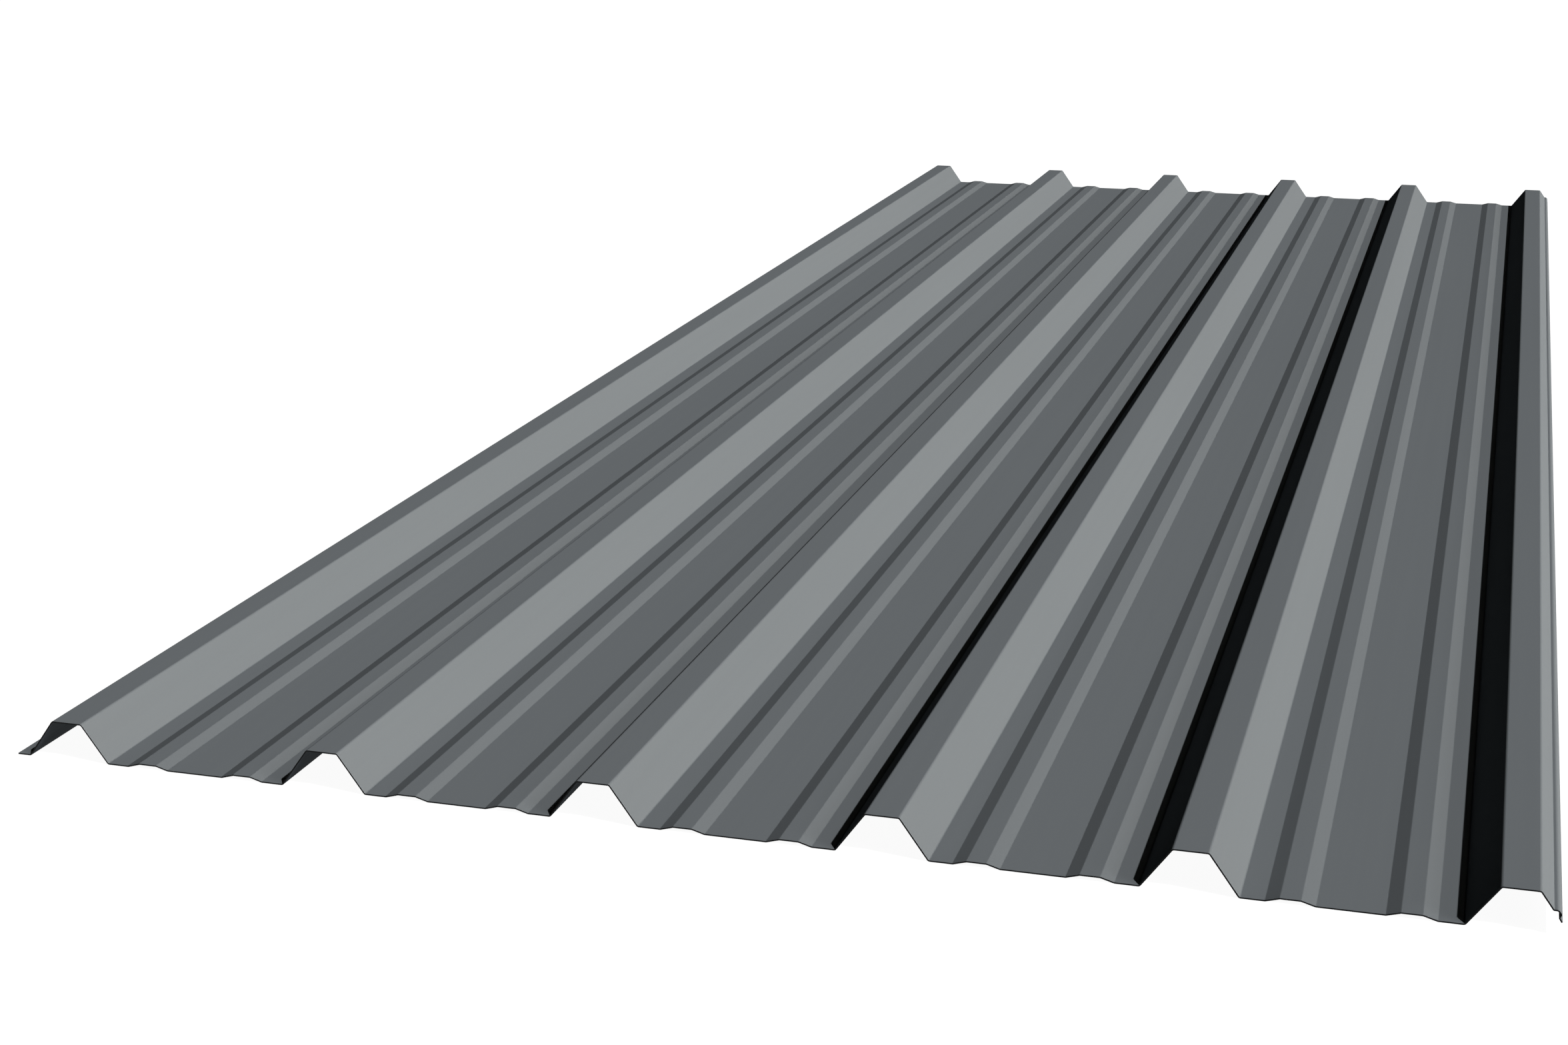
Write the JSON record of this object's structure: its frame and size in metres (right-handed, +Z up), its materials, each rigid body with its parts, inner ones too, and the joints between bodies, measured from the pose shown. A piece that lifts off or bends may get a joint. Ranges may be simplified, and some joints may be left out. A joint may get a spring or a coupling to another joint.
{
  "type": "corrugated metal sheet",
  "caption": "Long steel roofing sheet with a trapezoidal profile: high crowns, low stiffening ribs in flat pans, a plain foot on one side and a beaded lap edge on the other.",
  "frame": {"origin": "on the underside of the middle pan, at the middle of its flat and halfway along the sheet", "axes": "+Y along the sheet, +Z up out of the pans towards the crowns, +X across the sheet towards the beaded lap edge"},
  "size_m": [1.067, 2.85, 0.0285],
  "materials": {
    "painted_steel": "matte"
  },
  "bodies": {
    "root": {"corrugated_sheet": "painted_steel"}
  },
  "joints": []
}
